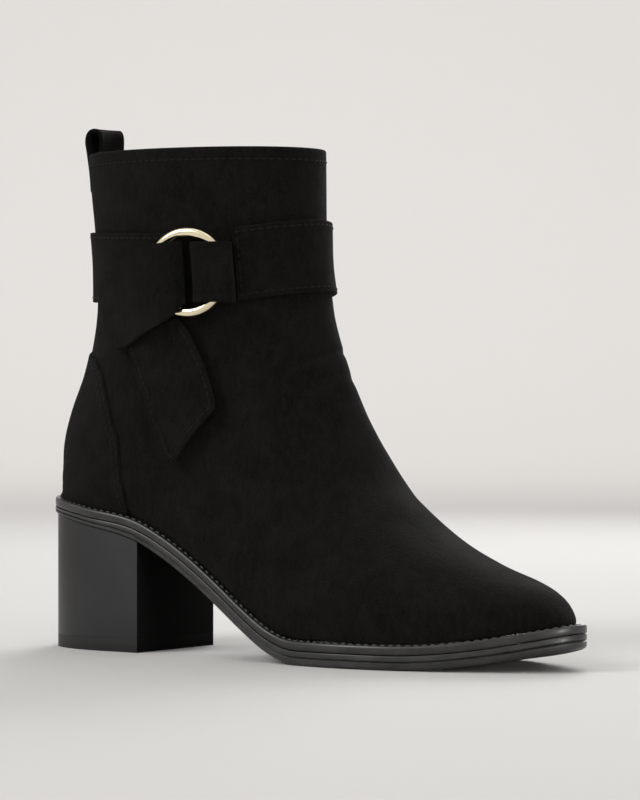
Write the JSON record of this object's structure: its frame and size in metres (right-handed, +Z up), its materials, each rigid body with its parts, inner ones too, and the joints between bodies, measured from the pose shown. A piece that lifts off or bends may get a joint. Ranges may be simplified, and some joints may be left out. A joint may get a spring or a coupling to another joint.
{
  "type": "ankle boot",
  "caption": "Right suede ankle boot with a high block heel, a strap round the shaft through a ring and a zip on the inner side",
  "frame": {"origin": "middle of the heel's ground face, on the floor", "axes": "+X towards the toe, +Y towards the inner side of the foot, +Z up"},
  "size_m": [0.2506, 0.0837, 0.2154],
  "materials": {
    "suede": "matt suede nap",
    "lining": "matt",
    "sole_edge": "satin",
    "heel_cover": "satin",
    "lift_rubber": "matt",
    "zip_tape": "woven",
    "zip_metal": "polished gunmetal",
    "gold": "polished pale gold"
  },
  "bodies": {
    "boot": {"upper": "suede", "insole": "lining", "welt": "sole_edge", "outsole": "sole_edge", "heel": "heel_cover", "top_lift": "lift_rubber", "front_strap": "suede", "front_strap_loop": "suede", "back_strap": "suede", "strap_fold": "suede", "strap_tail": "suede", "pull_loop": "suede", "zip_tape": "zip_tape", "zip_coil": "zip_metal", "ring": "gold", "zip_slider": "zip_metal"},
    "zip_pull": {"zip_pull": "zip_metal"}
  },
  "joints": [
    {"name": "zip_pull_swing", "type": "hinge", "parent": "boot", "child": "zip_pull", "pos_m": [0.05917, 0.03795, 0.196], "axis": [0.9878, -0.1556, 0], "range_deg": [0, 150]}
  ]
}
